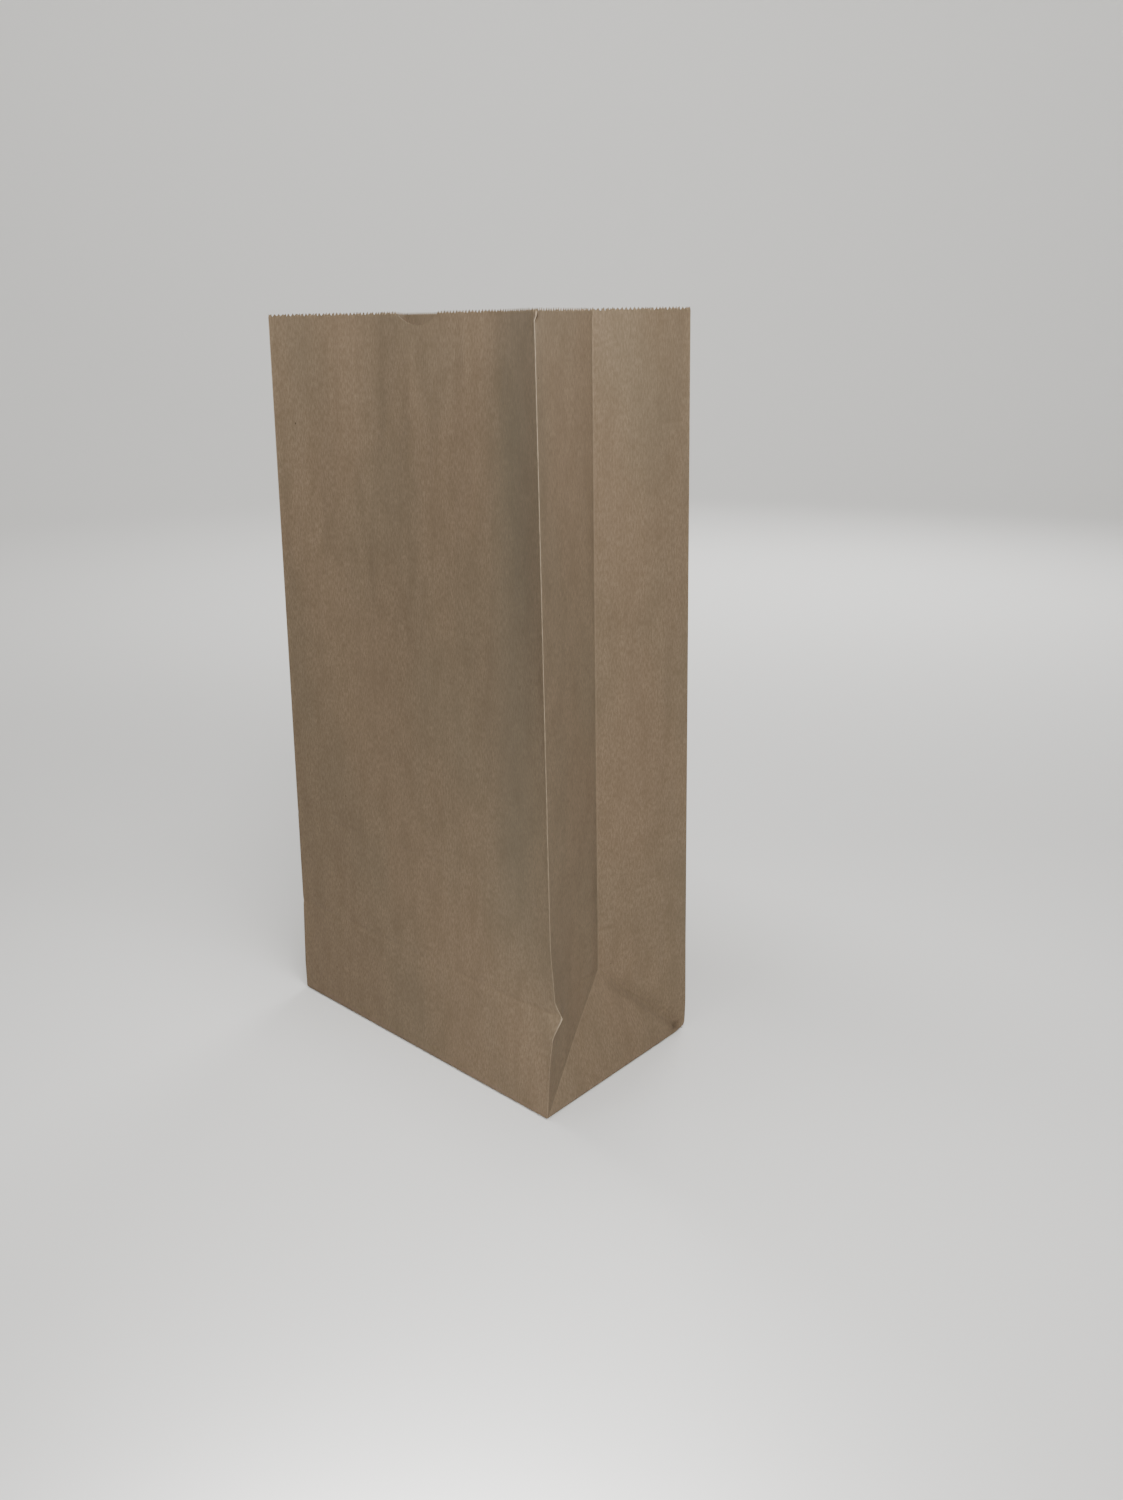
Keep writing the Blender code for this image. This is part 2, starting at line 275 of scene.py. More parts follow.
# Soft dents and ridges that handling left: where along s and t, half length, half width, lean of
# the long axis from upright in degrees, and height of the middle (outward positive).
CRUMPLES = (
    (113 * MM, 243 * MM, 17 * MM, 3.4 * MM, 16, -0.42 * MM),
    (118 * MM, 250 * MM, 15 * MM, 2.8 * MM, 18, 0.30 * MM),
    (104 * MM, 210 * MM, 22 * MM, 5.0 * MM, 12, -0.36 * MM),
    (96 * MM, 256 * MM, 14 * MM, 4.0 * MM, 4, 0.30 * MM),
    (62 * MM, 232 * MM, 26 * MM, 6.0 * MM, 18, -0.36 * MM),
    (55 * MM, 236 * MM, 26 * MM, 5.0 * MM, 14, 0.34 * MM),
    (72 * MM, 250 * MM, 20 * MM, 6.0 * MM, -10, -0.45 * MM),
    (84 * MM, 236 * MM, 26 * MM, 7.0 * MM, 8, 0.38 * MM),
    (28 * MM, 214 * MM, 36 * MM, 8.0 * MM, 6, 0.36 * MM),
    (42 * MM, 178 * MM, 34 * MM, 7.0 * MM, -6, -0.32 * MM),
    (74 * MM, 160 * MM, 40 * MM, 9.0 * MM, 5, 0.30 * MM),
    (100 * MM, 140 * MM, 40 * MM, 8.0 * MM, -8, -0.24 * MM),
    (160 * MM, 250 * MM, 12 * MM, 3.0 * MM, -22, -0.22 * MM),
    (152 * MM, 238 * MM, 16 * MM, 3.6 * MM, 12, 0.20 * MM),
    (166 * MM, 190 * MM, 40 * MM, 5.0 * MM, -3, -0.18 * MM),
    (203 * MM, 236 * MM, 18 * MM, 4.6 * MM, 8, 0.30 * MM),
    (212 * MM, 130 * MM, 40 * MM, 4.5 * MM, 2, -0.35 * MM),
    (262 * MM, 240 * MM, 22 * MM, 7.0 * MM, 14, -0.40 * MM),
    (310 * MM, 225 * MM, 30 * MM, 9.0 * MM, -8, 0.40 * MM),
    (336 * MM, 190 * MM, 26 * MM, 7.0 * MM, -16, -0.36 * MM),
    (250 * MM, 120 * MM, 36 * MM, 9.0 * MM, 4, 0.30 * MM),
    (376 * MM, 235 * MM, 20 * MM, 5.0 * MM, 12, -0.25 * MM),
    (424 * MM, 215 * MM, 24 * MM, 6.0 * MM, -10, 0.25 * MM),
)

rng = np.random.default_rng(11)
SWELLS = [
    (
        rng.integers(2, 15) * 2 * math.pi / ROUND,
        rng.uniform(8, 55),
        rng.uniform(0, 2 * math.pi),
        rng.uniform(0.05, 0.12) * MM,
    )
    for _ in range(10)
]


def relief(s, t):
    """How far the paper stands off its folded form, along its own normal: soft swells (a sum of
    seeded sine waves), crumples, the bend of each half gusset, the marks of use, the base crease's
    groove, the mark of the folded base, and the lap seam."""
    calm = np.clip(off_fold(s, CORNER_FOLDS + TUCK_FOLDS) / (6 * MM), 0, 1)
    calm = calm * np.clip((t - 2 * MM) / (20 * MM), 0, 1)
    height = np.zeros_like(s)
    for round_rate, up_rate, phase, size in SWELLS:
        height += size * np.sin(round_rate * s + up_rate * t + phase)
    for where_s, where_t, length, width, lean, size in CRUMPLES:
        angle = math.radians(lean)
        ds, dt = s - where_s, t - where_t
        along = dt * math.cos(angle) + ds * math.sin(angle)
        across = ds * math.cos(angle) - dt * math.sin(angle)
        height += size * bump(along, length) * bump(across, width)
    height *= calm

    rise = above_crease(t)
    right_u = s - WIDTH
    left_u = s - 2 * WIDTH - DEPTH
    for u, (first, second) in ((right_u, RIGHT_BENDS), (left_u, LEFT_BENDS[::-1])):
        k = u / HALF_GUSSET
        near, far = np.clip(k, 0, 1), np.clip(k - 1, 0, 1)
        height += first * rise ** BEND_RISE * 4 * near * (1 - near)
        height += second * rise ** BEND_RISE * 4 * far * (1 - far) * (1.6 - 1.2 * far)

    hollow = bump(t - HOLLOW_MIDDLE, HOLLOW_REACH) * bump(right_u - HALF_GUSSET / 2, HALF_GUSSET / 2)
    height -= HOLLOW_DEPTH * hollow

    off_mitre = (right_u - DEPTH + t) * math.sqrt(0.5)
    down_mitre = np.clip((CREASE - 2 * MM - t) / (8 * MM), 0, 1) * np.clip(t / (4 * MM), 0, 1)
    on_gusset = (right_u > 0) & (right_u < DEPTH)
    height -= MITRE_DEPTH * bump(off_mitre, MITRE_REACH) * down_mitre * on_gusset
    beside = right_u - HALF_GUSSET
    from_apex = CREASE - CREASE_DIP - t
    ridge = tent(beside - RIDGE_LEAN * from_apex, RIDGE_REACH) * tent(from_apex - 11 * MM, 11 * MM)
    height += RIDGE_HEIGHT * ridge * on_gusset
    groove = tent(from_apex - GROOVE_LEAN * beside, GROOVE_REACH) * bump(beside + 13 * MM, 13 * MM)
    height -= GROOVE_DEPTH * groove * on_gusset
    near_rim = np.clip((t - HEIGHT + 14 * MM) / (9 * MM), 0, 1)
    height -= PRESS_DEPTH * tent(s - WIDTH + PRESS_OFF_FOLD, PRESS_REACH) * near_rim

    on_front = np.clip(1.2 - np.abs(s - WIDTH / 2) / (WIDTH / 2), 0, 0.2) / 0.2
    deeper = 1 + 1.6 * np.clip((s - 0.6 * WIDTH) / (0.4 * WIDTH), 0, 1)
    across_crease = np.exp(-((t - CREASE) / CREASE_WIDTH) ** 2)
    height -= CREASE_GROOVE * deeper * across_crease * np.where(s < WIDTH, on_front, 0)
    on_rear_half = np.where(right_u > HALF_GUSSET, bump(right_u - 60 * MM, 20 * MM), 0)
    marked = np.clip(np.where(s < WIDTH, on_front, 0) + on_rear_half, 0, 1)
    height -= IMPRINT_DEPTH * np.exp(-((t - IMPRINT) / IMPRINT_WIDTH) ** 2) * marked

    seam_from = WIDTH + DEPTH + (WIDTH - SEAM_WIDTH) / 2
    seam_to = seam_from + SEAM_WIDTH
    stops = (seam_from - SEAM_STEP, seam_from, seam_to, seam_to + SEAM_RAMP)
    height += np.interp(s, stops, (0, PAPER, PAPER, 0))
    return height


def handled(s, t):
    """Sideways shifts of the paper, as vectors: the fins that pressed folds keep, the pinch where
    the base crease meets the right front fold, that fold's crushed top corner, and the base's
    lifted back right corner."""
    shift = np.zeros(s.shape + (3,))
    lip = tent(off_fold(s, CORNER_FOLDS), FOLD_LIP_REACH) ** 2 * np.clip(t / (12 * MM), 0, 1)
    for name, fold in zip(("front_left", "front_right", "back_right", "back_left"), CORNER_FOLDS):
        side_x, side_y = CORNER_SIDE[name]
        near = lip * (off_fold(s, (fold,)) <= FOLD_LIP_REACH)
        shift[..., 0] += side_x * near * FOLD_LIP * math.sqrt(0.5)
        shift[..., 1] += side_y * near * FOLD_LIP * math.sqrt(0.5)
    tuck = tent(off_fold(s, TUCK_FOLDS), FOLD_LIP_REACH) ** 2 * above_crease(t) ** 0.5
    shift[..., 0] += np.where(s < 2 * WIDTH + DEPTH, -1, 1) * tuck * FOLD_LIP * 0.6

    along = s - WIDTH
    reach = np.where(along < 0, tent(along, 3.2 * MM), tent(along, 9 * MM))
    pinch = tent(t - PINCH_LEVEL, PINCH_REACH) * reach
    shift += pinch[..., None] * PINCH_SHIFT
    drawn = bump(t - CREASE - 3 * MM, 26 * MM) * tent(along, 16 * MM)
    shift += drawn[..., None] * DRAWN_SHIFT
    corner_reach = np.where(along < 0, tent(along, 2.2 * MM), tent(along, 4.0 * MM))
    crushed = tent(t - HEIGHT + 1.5 * MM, 1.7 * MM) * corner_reach
    shift += crushed[..., None] * CRUSHED_SHIFT
    under = tent(t - HEIGHT + 3.0 * MM, 1.8 * MM) * tent(along - 1.4 * MM, 1.3 * MM)
    shift += under[..., None] * UNDER_SHIFT
    back_along = s - WIDTH - DEPTH
    dent = tent(t - DENT_LEVEL, 1.2 * MM) * tent(back_along + DENT_OFF_FOLD, 3.2 * MM)
    shift += dent[..., None] * DENT_SHIFT
    lifted = tent(t, 3 * MM) * tent(back_along, 5 * MM)
    shift += lifted[..., None] * LIFTED_SHIFT
    return shift


def sheet(s, t):
    """The finished sheet: the rounded folds, moved along the normal by the relief, shifted where
    it was handled, and curled round the base's edge by a quarter circle."""
    step = 0.5 * MM
    point = rounded(s, t)
    along_s = rounded(s + step, t) - rounded(s - step, t)
    along_t = rounded(s, t + step) - rounded(s, np.maximum(t - step, 0))
    normal = np.cross(along_s, along_t)
    normal /= np.linalg.norm(normal, axis=-1)[..., None]
    point = point + normal * relief(s, t)[..., None] + handled(s, t)
    turn = np.clip(t / EDGE_RADIUS, 0, math.pi / 2)
    point[..., 2] += EDGE_RADIUS * (1 - np.cos(turn)) - np.minimum(t, EDGE_RADIUS * math.pi / 2)
    curl_in = EDGE_RADIUS * (1 - np.sin(turn))
    point[..., 0] *= 1 - curl_in / (WIDTH / 2)
    point[..., 1] *= 1 - curl_in / (DEPTH / 2)
    return point


def notch(s):
    """Depth of the thumb notch in the front panel, a shallow parabola."""
    return NOTCH_DEPTH * np.clip(1 - ((s - NOTCH_MIDDLE) / (NOTCH_WIDTH / 2)) ** 2, 0, 1)


# ------------------------------------------------------------------ grids

def lines_between(length):
    """Grid lines of one stretch between two folds: crowded at both ends, even in between."""
    last = FOLD_LINES[-1]
    count = int(round((length - 2 * last) / CELL))
    middle = np.linspace(last, length - last, count + 1)
    return np.concatenate([FOLD_LINES[:-1], middle, length - FOLD_LINES[-2::-1]])


def column_lines():
    """Every column's s round the bag; the back panel's seam edges get lines of their own."""
    wide, half = lines_between(WIDTH)[:-1], lines_between(HALF_GUSSET)[:-1]
    seam = (WIDTH - SEAM_WIDTH) / 2 + np.array([-SEAM_STEP, 0, SEAM_WIDTH, SEAM_WIDTH + SEAM_RAMP])
    gap = np.abs(wide[:, None] - seam[None, :]).min(axis=1)
    back = np.sort(np.concatenate([wide[gap > 0.35 * MM], seam]))
    left = 2 * WIDTH + DEPTH
    starts = (0, WIDTH, WIDTH + HALF_GUSSET, WIDTH + DEPTH, left, left + HALF_GUSSET)
    runs = (wide, half, half, back, half, half)
    return np.concatenate([start + run for start, run in zip(starts, runs)])


def row_lines():
    """Every row's t: the gusset's own lines below the crease, then crowded after the crease and
    about the imprint, then even, then crowded towards the rim."""
    low = lines_between(HALF_GUSSET)
    mark = IMPRINT + np.array([-1.6, -0.8, 0, 0.8, 1.6]) * MM
    count = int(round((IMPRINT - CREASE) / TALL_CELL))
    gap = np.linspace(CREASE + FOLD_LINES[-1], mark[0], count)[:-1]
    top = HEIGHT - TOOTH_DEPTH - RIM_STRIP
    crowd = top - np.array([5.6, 4.4, 3.3, 2.2, 1.1, 0]) * MM
    count = int(round((crowd[0] - mark[-1]) / TALL_CELL))
    tall = np.linspace(mark[-1], crowd[0], count)[1:-1]
    return np.unique(np.concatenate([low, CREASE + FOLD_LINES[1:-1], gap, mark, tall, crowd]))


def zipped(low_index, low_s, top_index, top_s):
    """Triangles between two closed rows with different columns.  Both rows' next points are
    sorted by s, and each in turn makes one triangle with the point the other row has reached."""
    low_next = np.append(low_s[1:], ROUND)
    top_next = np.append(top_s[1:], ROUND)
    order = np.argsort(np.concatenate([low_next, top_next]), kind="stable")
    is_top = order >= len(low_s)
    low_at = np.cumsum(~is_top) - (~is_top)
    top_at = np.cumsum(is_top) - is_top
    low_at = np.minimum(low_at, len(low_s))
    top_at = np.minimum(top_at, len(top_s))
    low_ring = np.append(low_index, low_index[0])
    top_ring = np.append(top_index, top_index[0])
    step = np.where(
        is_top,
        top_ring[np.minimum(top_at + 1, len(top_s))],
        low_ring[np.minimum(low_at + 1, len(low_s))],
    )
    return np.stack([low_ring[low_at], step, top_ring[top_at]], axis=1)


def floor_rings(edge):
    """The bag's floor: each ring is the base outline drawn in towards the base's middle line, so
    its corners run along the mitres.  Rows from the innermost ring out."""
    middle = np.zeros_like(edge)
    reach = WIDTH / 2 - DEPTH / 2
    middle[:, 0] = np.clip(edge[:, 0], -reach, reach)
    middle[:, 2] = edge[:, 2]
    k = FLOOR_RINGS[:, None, None]
    return edge[None] * (1 - k) + middle[None] * k


def bag_mesh():
    """The sheet's outer face as one open mesh: its points, its faces, and each point's s and t.
    On the bag's floor t is less than 0."""
    columns, rows = column_lines(), row_lines()
    count = len(columns)
    s, t = np.meshgrid(columns, rows)
    blend = np.clip((t - (HEIGHT - 26 * MM)) / (26 * MM), 0, 1)
    t = t - notch(s) * blend ** 2
    wall = sheet(s, t)
    floor = floor_rings(wall[0])

    k = np.arange(TEETH)
    pitch = ROUND / TEETH
    root_s = k * pitch
    tip_s = (k + TOOTH_LEAN + rng.normal(0, 0.03, TEETH)) * pitch
    in_notch = notch(tip_s) > 0
    tooth = np.where(in_notch, 0.0, TOOTH_DEPTH * rng.uniform(0.82, 1.0, TEETH))
    rim_s = np.stack([root_s, tip_s], axis=1).ravel()
    rim_t = HEIGHT - TOOTH_DEPTH - notch(rim_s)
    rim_t[1::2] += tooth
    rim = sheet(rim_s, rim_t)
    outward = rim[:, :2] / np.linalg.norm(rim[:, :2], axis=1)[:, None]
    bent = np.zeros(2 * TEETH)
    bent[1::2] = rng.normal(0, TOOTH_CURL, TEETH) * (tooth > 0)
    rim[:, :2] += outward * bent[:, None]

    grid = np.concatenate([floor, wall])
    index = np.arange(grid.shape[0] * count).reshape(grid.shape[0], count)
    right = np.roll(index, -1, axis=1)
    a, b, c, d = index[:-1], right[:-1], right[1:], index[1:]
    rings = len(FLOOR_RINGS)
    falling = np.zeros(a.shape, bool)
    for start in (WIDTH, 2 * WIDTH + DEPTH):
        far_half = (columns >= start + HALF_GUSSET - 1e-9) & (columns < start + DEPTH - 1e-9)
        falling[rings:][:, far_half] = True
    up = [np.stack([a, b, c], -1)[~falling], np.stack([a, c, d], -1)[~falling]]
    down = [np.stack([a, b, d], -1)[falling], np.stack([b, c, d], -1)[falling]]
    top_index = index.size + np.arange(2 * TEETH)
    strip = zipped(index[-1], columns, top_index, rim_s)
    triangles = np.concatenate(up + down + [strip])
    points = np.concatenate([grid.reshape(-1, 3), rim])
    faces = triangles.tolist() + [index[0][::-1].tolist()]

    ring_s = np.broadcast_to(columns, (rings, count))
    ring_t = -FLOOR_RINGS[:, None] * DEPTH / 2 * np.ones((1, count))
    all_s = np.concatenate([ring_s.ravel(), s.ravel(), rim_s])
    all_t = np.concatenate([ring_t.ravel(), t.ravel(), rim_t])
    return points, faces, all_s, all_t


def crease_distances(s, t):
    """Distance along the paper to the nearest outward fold, and to the nearest inner crease.  From each
    the material makes a pale line that is partly worn fibres and partly painted highlight.  A little is
    added to the first where that line is weaker: lower down, and at the rim."""
    wall = t >= 0
    outward = np.where(wall, off_fold(s, CORNER_FOLDS), 1.0)
    # The pale line of worn fibres and painted highlight is made weaker lower down and at the rim, and
    # stronger at the pinch.
    fade = FOLD_WEAR_AND_HIGHLIGHT_FADE * (1 - t / HEIGHT) * (1 - 0.7 * tent(t - PINCH_LEVEL, 9 * MM))
    fade += FOLD_WEAR_AND_HIGHLIGHT_FADE / 2 * np.clip((t - HEIGHT) / MM + 3, 0, 1)
    outward = np.minimum(outward + fade, np.abs(t) + 0.3 * MM)
    # The inner creases get a fainter pale line, partly worn fibres and partly painted highlight.
    inner = np.where(wall & (t > CREASE), off_fold(s, TUCK_FOLDS), 1.0)
    for start in (WIDTH, 2 * WIDTH + DEPTH):
        u = s - start
        inside = (u >= 0) & (u <= DEPTH) & wall & (t <= CREASE + 1e-9)
        mitre = np.abs(u - t) * math.sqrt(0.5)
        inner = np.where(inside, np.minimum(inner, mitre), inner)
    return outward, inner


def greyed(s, t):
    """How much the paper is greyed: a soft upright band of the front panel, near its right fold,
    that starts above the base crease and fades a little towards the rim."""
    band = bump(s - GREY_MIDDLE, GREY_REACH)
    return band * ease((t - CREASE) / (70 * MM)) * ease((HEIGHT + 15 * MM - t) / (60 * MM))


def buckle_shade(s, t):
    """How deep the shade is in two buckles that are tighter than the grid: under the crushed top
    corner, and in the dent beside the base's back right corner."""
    top = tent(s - WIDTH - 1.5 * MM, 1.6 * MM) * tent(t - HEIGHT + 2.4 * MM, 1.6 * MM)
    foot = tent(s - WIDTH - DEPTH + DENT_OFF_FOLD, 3.2 * MM) * tent(t - DENT_LEVEL, 1.1 * MM)
    return top + 0.5 * foot


# ------------------------------------------------------------------ materials

def linear(colour):
    """An sRGB hex colour as linear RGBA."""
    parts = [int(colour[i:i + 2], 16) / 255 for i in (1, 3, 5)]
    return [p / 12.92 if p <= 0.04045 else ((p + 0.055) / 1.055) ** 2.4 for p in parts] + [1.0]


def add(tree, kind, settings=(), links=()):
    """Add a node with its settings and links.  A socket is named by its label, or by its number
    where labels repeat; any other setting is a property of the node."""
    node = tree.nodes.new("ShaderNode" + kind)
    for name, value in dict(settings).items():
        if isinstance(name, int) or name in node.inputs:
            node.inputs[name].default_value = value
        else:
            setattr(node, name, value)
    for name, source in dict(links).items():
        tree.links.new(source, node.inputs[name])
    return node


def new_material(name):
    material = bpy.data.materials.new(name)
    material.use_nodes = True
    tree = material.node_tree
    shader = tree.nodes["Principled BSDF"]
    return material, tree, shader


# Patterns of the kraft paper: grain size along s and t, how many finer layers it has, and how
# strong those are.  Real fibres are too fine to show, so bundles of them are drawn, far coarser.
KRAFT_GRAINS = {
    "fibres": (0.55 * MM, 1.9 * MM, 3, 0.65),       # bundles of fibres, lying up and down the bag
    "flocks": (1.9 * MM, 2.6 * MM, 3, 0.60),        # clumps of pulp
    "streaks": (2.6 * MM, 60 * MM, 2, 0.60),        # the machine's direction
    "drifts": (42 * MM, 90 * MM, 2, 0.50),          # uneven pulp and handling
    "blotches": (7 * MM, 15 * MM, 3, 0.60),         # denser pulp
    "cockle": (6 * MM, 9 * MM, 2, 0.50),            # drying waves
    "wear_and_highlight": (0.8 * MM, 3.0 * MM, 2, 0.60),          # broken fibres along a fold, and the painted highlight there
}


def unbleached_kraft():
    """Unbleached machine-glazed kraft: softwood pulp, laid fast, so the fibres lie up and down the
    bag.  That gives the eye a dull brown with a fine upright grain, a cloudy look where the pulp
    flocked, a few dark bark specks, and pale broken fibres along every pressed fold, with a
    painted highlight laid on them."""
    material, tree, shader = new_material("unbleached_kraft_paper")
    paper = add(tree, "UVMap", {"uv_map": "paper"}).outputs["UV"]
    grain = {}
    for name, (width, length, layers, strength) in KRAFT_GRAINS.items():
        place = add(tree, "Mapping", {"Scale": (1 / width, 1 / length, 1)}, {"Vector": paper})
        shape = {"Scale": 1.0, "Detail": layers, "Roughness": strength}
        grain[name] = add(tree, "TexNoise", shape, {"Vector": place.outputs[0]}).outputs["Fac"]

    # Brown paper: each layer fades one colour over the last, by a share that its grain sets.
    colour = add(tree, "RGB").outputs[0]
    colour.default_value = linear("#665745")
    layers = (
        ("flocks", 0.36, 0.64, 0.36, "#726250"),
        ("fibres", 0.40, 0.66, 0.48, "#7A6A57"),
        ("fibres", 0.58, 0.34, 0.36, "#524636"),
        ("streaks", 0.40, 0.70, 0.24, "#5F5243"),
        ("blotches", 0.42, 0.70, 0.40, "#584B3A"),
        ("drifts", 0.44, 0.74, 0.30, "#5D5647"),
        ("drifts", 0.52, 0.24, 0.24, "#6C5A49"),
    )
    for name, low, high, most, tint in layers:
        limits = {"From Min": low, "From Max": high, "To Max": most}
        share = add(tree, "MapRange", limits, {"Value": grain[name]}).outputs[0]
        mix = {"data_type": "RGBA", 7: linear(tint)}
        colour = add(tree, "Mix", mix, {0: share, 6: colour}).outputs[2]

    # The greyed band.
    depth = add(tree, "Attribute", {"attribute_name": "greyed"}).outputs["Fac"]
    share = add(tree, "MapRange", {"To Max": 0.27}, {"Value": depth}).outputs[0]
    mix = {"data_type": "RGBA", 7: linear("#5B594C")}
    colour = add(tree, "Mix", mix, {0: share, 6: colour}).outputs[2]

    # Bark specks, about 0.6 mm across, in a third of some 11 by 15 mm cells.
    place = add(tree, "Mapping", {"Scale": (1 / (11 * MM), 1 / (15 * MM), 1)}, {"Vector": paper})
    cells = add(tree, "TexVoronoi", {"Scale": 1.0}, {"Vector": place.outputs[0]})
    limits = {"From Min": 0.020, "From Max": 0.034, "To Min": 1.0, "To Max": 0.0}
    dot = add(tree, "MapRange", limits, {"Value": cells.outputs["Distance"]}).outputs[0]
    split = add(tree, "SeparateColor", (), {"Color": cells.outputs["Color"]}).outputs[0]
    limits = {"From Min": 0.62, "From Max": 0.66, "To Max": 0.70}
    chosen = add(tree, "MapRange", limits, {"Value": split}).outputs[0]
    speck = add(tree, "Math", {"operation": "MULTIPLY"}, {0: dot, 1: chosen}).outputs[0]
    mix = {"data_type": "RGBA", 7: linear("#2E2418")}
    colour = add(tree, "Mix", mix, {0: speck, 6: colour}).outputs[2]

    # Worn fibres with a painted highlight: pale along the outward folds, faint along the inner creases,
    # both ragged.
    limits = {"From Min": 0.30, "From Max": 0.60, "To Min": 0.50, "To Max": 1.0}
    ragged = add(tree, "MapRange", limits, {"Value": grain["wear_and_highlight"]}).outputs[0]
    folds = (
        ("fold_distance", 0.12 * MM, 0.55 * MM, 0.75, "#B4A38B"),
        ("crease_distance", 0.10 * MM, 0.55 * MM, 0.22, "#857662"),
    )
    for name, near, far, most, tint in folds:
        gap = add(tree, "Attribute", {"attribute_name": name}).outputs["Fac"]
        limits = {"From Min": near, "From Max": far, "To Min": most, "To Max": 0.0}
        band = add(tree, "MapRange", limits, {"Value": gap}).outputs[0]
        worn_and_highlit = add(tree, "Math", {"operation": "MULTIPLY"}, {0: band, 1: ragged}).outputs[0]
        mix = {"data_type": "RGBA", 7: linear(tint)}
        colour = add(tree, "Mix", mix, {0: worn_and_highlit, 6: colour}).outputs[2]

    # Shade in the two buckles.
    depth = add(tree, "Attribute", {"attribute_name": "buckle_shade"}).outputs["Fac"]
    share = add(tree, "MapRange", {"From Max": 0.7, "To Max": 0.90}, {"Value": depth}).outputs[0]
    mix = {"data_type": "RGBA", 7: linear("#2A2016")}
    colour = add(tree, "Mix", mix, {0: share, 6: colour}).outputs[2]
    tree.links.new(colour, shader.inputs["Base Color"])

    limits = {"From Min": 0.3, "From Max": 0.7, "To Min": 0.84, "To Max": 0.93}
    dull = add(tree, "MapRange", limits, {"Value": grain["fibres"]}).outputs[0]
    tree.links.new(dull, shader.inputs["Roughness"])
    shader.inputs["Specular IOR Level"].default_value = 0.25
    links = {"Height": grain["fibres"]}
    fine = add(tree, "Bump", {"Strength": 0.40, "Distance": 0.06 * MM}, links)
    links = {"Height": grain["flocks"], "Normal": fine.outputs[0]}
    clumps = add(tree, "Bump", {"Strength": 0.30, "Distance": 0.07 * MM}, links)
    links = {"Height": grain["cockle"], "Normal": clumps.outputs[0]}
    broad = add(tree, "Bump", {"Strength": 0.50, "Distance": 0.15 * MM}, links)
    tree.links.new(broad.outputs[0], shader.inputs["Normal"])
    return material


def studio_paper():
    """Matt background paper, seamless and nearly white."""
    material, _, shader = new_material("white_background_paper")
    shader.inputs["Base Color"].default_value = linear("#E6E5E2")
    shader.inputs["Roughness"].default_value = 0.95
    return material


# ------------------------------------------------------------------ pieces

def add_piece(name, points, faces, material):
    mesh = bpy.data.meshes.new(name)
    mesh.from_pydata(points.tolist(), [], faces)
    mesh.materials.append(material)
    piece = bpy.data.objects.new(name, mesh)
    bpy.context.scene.collection.objects.link(piece)
    return piece


def set_paper_uv(mesh, s, t):
    """UVs in metres of paper.  Faces that close the ring use s = ROUND instead of 0, and floor
    faces use their place on the floor, laid beside the wall's patch."""
    corners = np.empty(len(mesh.loops), np.int32)
    mesh.loops.foreach_get("vertex_index", corners)
    totals = np.empty(len(mesh.polygons), np.int32)
    mesh.polygons.foreach_get("loop_total", totals)
    starts = np.concatenate([[0], np.cumsum(totals)[:-1]])
    face_of = np.repeat(np.arange(len(totals)), totals)
    here_s, here_t = s[corners], t[corners]
    wraps = np.maximum.reduceat(here_s, starts)[face_of] > ROUND * 0.75
    here_s = np.where(wraps & (here_s < ROUND * 0.25), here_s + ROUND, here_s)
    on_floor = np.minimum.reduceat(here_t, starts)[face_of] < 0
    place = np.empty(len(mesh.vertices) * 3)
    mesh.vertices.foreach_get("co", place)
    place = place.reshape(-1, 3)[corners]
    here_s = np.where(on_floor, place[:, 0] + 2 * ROUND, here_s)
    here_t = np.where(on_floor, place[:, 1], here_t)
    layer = mesh.uv_layers.new(name="paper")
    layer.data.foreach_set("uv", np.stack([here_s, here_t], axis=1).astype(np.float32).ravel())


def set_point_values(mesh, name, values):
    layer = mesh.attributes.new(name, "FLOAT", "POINT")
    layer.data.foreach_set("value", values.astype(np.float32))


def give_thickness(piece):
    """One paper thickness on the inner side, applied, with hard edges kept hard in shading."""
    solid = piece.modifiers.new("paper thickness", "SOLIDIFY")
    solid.thickness = PAPER
    solid.offset = -1.0
    shape = piece.evaluated_get(bpy.context.evaluated_depsgraph_get())
    mesh = bpy.data.meshes.new_from_object(shape)
    piece.modifiers.clear()
    piece.data = mesh
    mesh.shade_smooth()
    mesh.set_sharp_from_angle(angle=math.radians(22))


def add_bag(kraft):
    points, faces, s, t = bag_mesh()
    bag = add_piece("folded_kraft_sheet", points, faces, kraft)
    set_paper_uv(bag.data, s, t)
    # These distances place the pale lines of worn fibres and painted highlight along the folds and
    # creases.
    outward, inner = crease_distances(s, t)
    set_point_values(bag.data, "fold_distance", outward)
    set_point_values(bag.data, "crease_distance", inner)
    set_point_values(bag.data, "greyed", greyed(s, t))
    set_point_values(bag.data, "buckle_shade", buckle_shade(s, t))
    give_thickness(bag)
    return bag


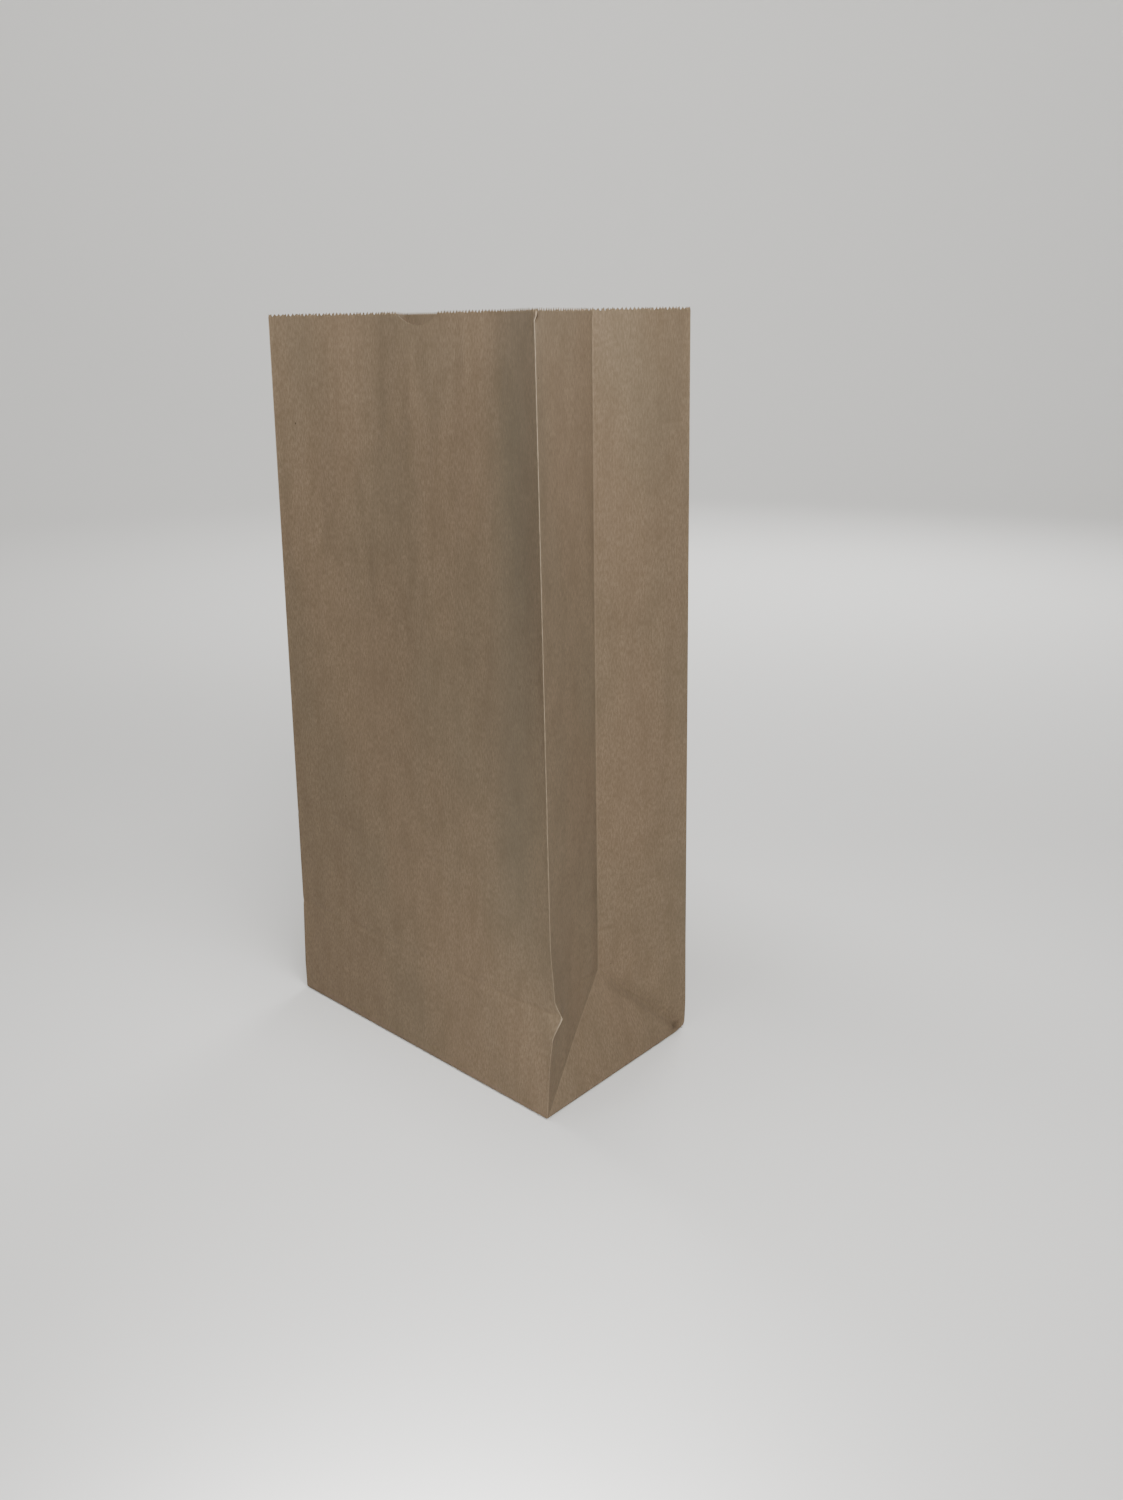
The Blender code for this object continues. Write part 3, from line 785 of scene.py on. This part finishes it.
def add_flap(name, side, level, kraft):
    """A glued base flap: rows run from the folded edge past the middle, and each row is as wide as
    the mitres leave it."""
    v = np.linspace(0, 1, 26)[:, None]
    u = np.linspace(-1, 1, 61)[None, :]
    reach = DEPTH / 2 + 10 * MM
    inward = v * reach
    outer = DEPTH / 2 - EDGE_RADIUS
    y = side * (outer - inward) + 0 * u
    half = np.maximum(WIDTH / 2 - EDGE_RADIUS - inward, WIDTH / 2 - DEPTH / 2)
    x = u * half
    z = level + 0 * x
    points = np.stack([x, y, z], axis=-1).reshape(-1, 3)
    index = np.arange(x.size).reshape(x.shape)
    here, beyond = index[:-1], index[1:]
    quads = np.stack([here[:, :-1], beyond[:, :-1], beyond[:, 1:], here[:, 1:]], axis=-1).reshape(-1, 4)
    if side < 0:
        quads = quads[:, ::-1]
    flap = add_piece(name, points, quads[:, ::-1].tolist(), kraft)
    s, t = points[:, 0] + 3 * ROUND, points[:, 1]
    set_paper_uv(flap.data, s, np.abs(t) + 1.0)
    away = np.full(len(points), 1.0)
    set_point_values(flap.data, "fold_distance", away)
    set_point_values(flap.data, "crease_distance", away)
    give_thickness(flap)
    return flap


kraft_paper = unbleached_kraft()
bag = add_bag(kraft_paper)
flap_pieces = (
    add_flap("outer_base_flap", 1, 0.0, kraft_paper),
    add_flap("inner_base_flap", -1, 0.16 * MM, kraft_paper),
)
for piece in (bag, *flap_pieces):
    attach(piece, "root")
    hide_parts("paper_bag")


# ------------------------------------------------------------------ stage, light and camera

def add_stage():
    """A pale floor that sweeps up into a round wall: a profile turned about the bag, flat out to
    the sweep, a quarter circle, then straight up."""
    flat, sweep, wall = 1.5, 0.7, 1.2
    turn = np.linspace(0, math.pi / 2, 13)
    radius = np.concatenate([[0.02, flat / 2], flat + sweep * np.sin(turn), [flat + sweep]])
    height = np.concatenate([[0, 0], sweep * (1 - np.cos(turn)), [sweep + wall]])
    around = np.linspace(0, 2 * math.pi, 65)[:-1]
    x = radius[:, None] * np.cos(around)
    y = radius[:, None] * np.sin(around)
    z = height[:, None] + 0 * x - 0.05 * MM
    points = np.stack([x, y, z], axis=-1).reshape(-1, 3)
    index = np.arange(x.size).reshape(x.shape)
    right = np.roll(index, -1, axis=1)
    quads = np.stack([index[:-1], index[1:], right[1:], right[:-1]], axis=-1).reshape(-1, 4)
    floor = add_piece("studio_floor", points, quads.tolist() + [index[0].tolist()], studio_paper())
    floor.data.shade_smooth()


def add_softbox(name, place, target, size, power):
    """A rectangular soft light, size long by size high, aimed at a point."""
    light = bpy.data.lights.new(name, "AREA")
    light.shape = "RECTANGLE"
    light.size, light.size_y = size
    light.energy = power
    lamp = bpy.data.objects.new(name, light)
    lamp.location = place
    lamp.rotation_mode = "QUATERNION"
    lamp.rotation_quaternion = (Vector(target) - Vector(place)).to_track_quat("-Z", "Y")
    bpy.context.scene.collection.objects.link(lamp)


def add_sky(strength):
    world = bpy.data.worlds.new("soft_studio")
    world.use_nodes = True
    background = world.node_tree.nodes["Background"]
    background.inputs["Color"].default_value = linear("#FFFFFF")
    background.inputs["Strength"].default_value = strength
    bpy.context.scene.world = world


def add_camera():
    """A phone-like lens, a little under the rim's height, looking down at the front right corner."""
    place = (0.3232, -0.3032, 0.2670)
    down, turn, roll = math.radians(19.41), math.radians(42.77), math.radians(-0.95)
    ahead = Vector((-math.sin(turn) * math.cos(down), math.cos(turn) * math.cos(down), -math.sin(down)))
    side = Vector((math.cos(turn), math.sin(turn), 0))
    up = side.cross(ahead)
    right = side * math.cos(roll) + up * math.sin(roll)
    over = up * math.cos(roll) - side * math.sin(roll)
    lens = bpy.data.cameras.new("camera")
    lens.sensor_width = 36
    lens.lens = 29.52
    lens.clip_start, lens.clip_end = 0.01, 20
    camera = bpy.data.objects.new("camera", lens)
    camera.matrix_world = Matrix((
        (right.x, over.x, -ahead.x, place[0]),
        (right.y, over.y, -ahead.y, place[1]),
        (right.z, over.z, -ahead.z, place[2]),
        (0, 0, 0, 1),
    ))
    bpy.context.scene.collection.objects.link(camera)
    bpy.context.scene.camera = camera


# Soft light from the front right, strips above that grade the sheet from its rim down, one light
# into the mouth, and one low in front that lights the base, mostly by way of the floor.
add_stage()
add_sky(0.25)
add_softbox("key", (1.00, -0.75, 1.10), (0, 0, 0.12), (0.5, 0.5), 12)
add_softbox("front_strip", (0, -0.18, 0.42), (0, -0.02, 0.2), (0.22, 0.06), 0.28)
add_softbox("side_strip", (0.22, -0.10, 0.40), (0.06, 0, 0.2), (0.10, 0.06), 0.86)
add_softbox("mouth_glow", (0, -0.015, 0.40), (0, 0.03, 0.26), (0.14, 0.04), 0.78)
add_softbox("low_fill", (0.20, -0.22, 0.05), (0.08, -0.09, -0.19), (0.10, 0.04), 0.38)
add_softbox("rear_fill", (-0.30, 1.00, 0.70), (0, 0, 0.12), (0.5, 0.5), 6)
add_softbox("backdrop", (-0.35, 0.45, 1.10), (-1.45, 1.60, 0.50), (0.8, 0.5), 17)
add_camera()
